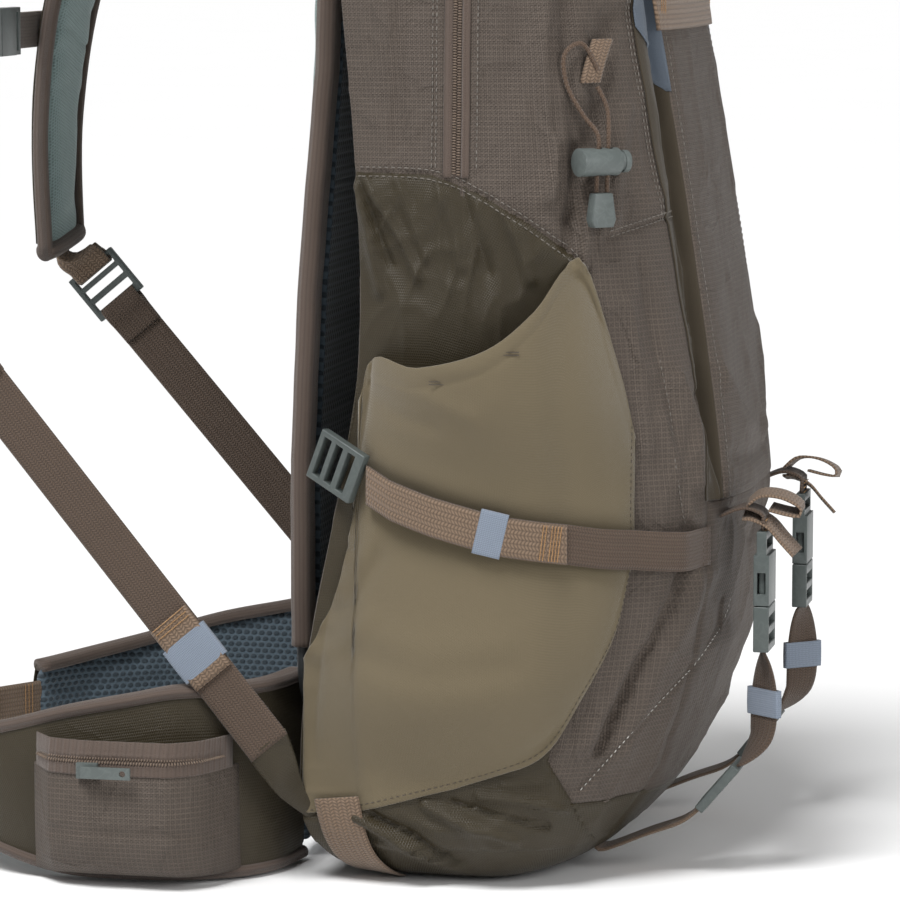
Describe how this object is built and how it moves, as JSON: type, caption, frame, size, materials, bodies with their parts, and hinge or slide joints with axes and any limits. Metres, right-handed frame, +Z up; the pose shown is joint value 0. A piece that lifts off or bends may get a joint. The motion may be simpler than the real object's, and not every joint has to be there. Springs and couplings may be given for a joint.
{
  "type": "hunting backpack",
  "caption": "Day pack with a suspended mesh back, stretch side pockets, front stuff pocket, compression and stow straps and a padded hip belt with pockets.",
  "frame": {"origin": "middle of the flat resting area under the base", "axes": "+Z up along the pack, -Y out of the front pocket, +Y towards the wearer, -X the wearer's left"},
  "size_m": [0.3862, 0.4873, 0.6423],
  "materials": {
    "ripstop": "grey-brown ripstop weave with a fine light grid, matt with a slight sheen",
    "satin": "dark olive satin weave, soft sheen",
    "stretch": "tan olive stretch weave, matt",
    "webbing": "brown woven webbing, coarse ribs",
    "elastic": "grey-blue elastic",
    "mesh": "dark spacer mesh",
    "back_mesh": "grey-green fine ribbed mesh",
    "plastic": "moulded grey acetal, satin",
    "rod": "bent alloy rod, satin",
    "sheet": "black polyethylene sheet"
  },
  "bodies": {
    "bag": {"base_panel": "satin", "side_panel_left": "ripstop", "side_panel_right": "ripstop", "front_panel": "ripstop", "back_panel": "satin", "lid_zip": "webbing", "stuff_pocket": "ripstop", "stuff_gussets": "stretch", "stuff_corners": "elastic", "side_pocket_left": "stretch", "side_pocket_right": "stretch", "side_zip": "webbing", "frame_hoop": "rod", "frame_anchors": "plastic", "frame_sheet": "sheet", "mesh_pad": "back_mesh", "spacer_mesh": "mesh", "mesh_binding": "webbing", "lumbar_pad": "mesh", "shoulder_strap_left": "satin", "shoulder_strap_right": "satin", "lower_webbing_left": "webbing", "lower_webbing_right": "webbing", "compression_strap_left": "webbing", "compression_strap_right": "webbing", "pocket_strap": "webbing", "stow_straps": "webbing", "stow_buckles_female": "plastic", "stow_locks": "plastic", "shoulder_keepers": "elastic", "cord_tab": "webbing", "tool_cord": "webbing", "cord_lock": "plastic", "cord_end": "plastic"},
    "lid": {"lid": "ripstop"},
    "lid_zip_pull": {"lid_zip_slider": "plastic"},
    "side_zip_pull": {"side_zip_slider": "plastic"},
    "wing_left": {"hip_wing_left": "satin", "hip_pocket_left": "ripstop", "hip_strap_left": "webbing"},
    "wing_right": {"hip_wing_right": "satin", "hip_pocket_right": "ripstop", "hip_strap_right": "webbing", "hip_buckle_female": "plastic"},
    "hip_zip_pull_left": {"hip_zip_slider_left": "plastic"},
    "hip_zip_pull_right": {"hip_zip_slider_right": "plastic"},
    "hip_male": {"hip_buckle_male": "plastic"},
    "sternum": {"sternum_strap": "webbing", "sternum_buckle_female": "plastic"},
    "sternum_male": {"sternum_buckle_male": "plastic"},
    "handle": {"grab_handle": "webbing"},
    "comp_lock_left": {"compression_lock_left": "plastic"},
    "comp_lock_right": {"compression_lock_right": "plastic"},
    "comp_keeper_left": {"compression_keeper_left": "elastic"},
    "comp_keeper_right": {"compression_keeper_right": "elastic"},
    "web_lock_left": {"ladder_lock_left": "plastic"},
    "web_lock_right": {"ladder_lock_right": "plastic"},
    "plunger": {"cord_plunger": "plastic"},
    "stow_male_left": {"stow_buckle_left": "plastic"},
    "stow_male_right": {"stow_buckle_right": "plastic"}
  },
  "joints": [
    {"name": "lid_hinge", "type": "hinge", "parent": "bag", "child": "lid", "pos_m": [0, 0.066, 0.6003], "axis": [-1, 0, 0], "range_deg": [0, 90]},
    {"name": "lid_zip_slide", "type": "slide", "parent": "bag", "child": "lid_zip_pull", "axis": [1, 0, 0], "range_m": [-0.035, 0.035]},
    {"name": "side_zip_slide", "type": "slide", "parent": "bag", "child": "side_zip_pull", "axis": [0.0559, 0, 0.9984], "range_m": [-0.155, 0.008]},
    {"name": "wing_fold_left", "type": "hinge", "parent": "bag", "child": "wing_left", "pos_m": [-0.085, 0.1033, 0.05], "axis": [0, 0, -1], "range_deg": [0, 8]},
    {"name": "wing_fold_right", "type": "hinge", "parent": "bag", "child": "wing_right", "pos_m": [0.085, 0.1033, 0.05], "axis": [0, 0, 1], "range_deg": [0, 8]},
    {"name": "hip_zip_slide_left", "type": "slide", "parent": "wing_left", "child": "hip_zip_pull_left", "axis": [0, 1, 0], "range_m": [-0.036, 0]},
    {"name": "hip_zip_slide_right", "type": "slide", "parent": "wing_right", "child": "hip_zip_pull_right", "axis": [0, 1, 0], "range_m": [-0.036, 0]},
    {"name": "hip_buckle_release", "type": "slide", "parent": "wing_left", "child": "hip_male", "axis": [0.8327, 0.5537, 0], "range_m": [-0.014, 0]},
    {"name": "sternum_height", "type": "slide", "parent": "bag", "child": "sternum", "axis": [0, -0.2099, 0.9777], "range_m": [-0.015, 0.02]},
    {"name": "sternum_release", "type": "slide", "parent": "sternum", "child": "sternum_male", "axis": [1, 0, 0], "range_m": [-0.018, 0]},
    {"name": "handle_lift", "type": "hinge", "parent": "bag", "child": "handle", "pos_m": [0, 0.067, 0.57], "axis": [1, 0, 0], "range_deg": [0, 18]},
    {"name": "comp_lock_tilt_left", "type": "hinge", "parent": "bag", "child": "comp_lock_left", "pos_m": [-0.15426, 0.05055, 0.21127], "axis": [-0.1807, -0.3672, 0.9124], "range_deg": [0, 12]},
    {"name": "comp_lock_tilt_right", "type": "hinge", "parent": "bag", "child": "comp_lock_right", "pos_m": [0.15426, 0.05055, 0.21127], "axis": [0.1807, -0.3672, 0.9124], "range_deg": [-12, 0]},
    {"name": "comp_keeper_slide_left", "type": "slide", "parent": "bag", "child": "comp_keeper_left", "axis": [-0.105, 0.969, 0.2236], "range_m": [-0.003, 0.003]},
    {"name": "comp_keeper_slide_right", "type": "slide", "parent": "bag", "child": "comp_keeper_right", "axis": [0.105, 0.969, 0.2236], "range_m": [-0.003, 0.003]},
    {"name": "web_lock_tilt_left", "type": "hinge", "parent": "bag", "child": "web_lock_left", "pos_m": [-0.14585, 0.26011, 0.27053], "axis": [-0.0559, -0.7641, 0.6427], "range_deg": [-12, 12]},
    {"name": "web_lock_tilt_right", "type": "hinge", "parent": "bag", "child": "web_lock_right", "pos_m": [0.14585, 0.26011, 0.27053], "axis": [0.0559, -0.7641, 0.6427], "range_deg": [-12, 12]},
    {"name": "plunger_press", "type": "slide", "parent": "bag", "child": "plunger", "axis": [0.6769, -0.7361, 0], "range_m": [-0.003, 0], "stiffness_N_per_m": 600},
    {"name": "stow_release_left", "type": "slide", "parent": "bag", "child": "stow_male_left", "axis": [0, 0, 1], "range_m": [-0.018, 0]},
    {"name": "stow_release_right", "type": "slide", "parent": "bag", "child": "stow_male_right", "axis": [0, 0, 1], "range_m": [-0.018, 0]}
  ]
}
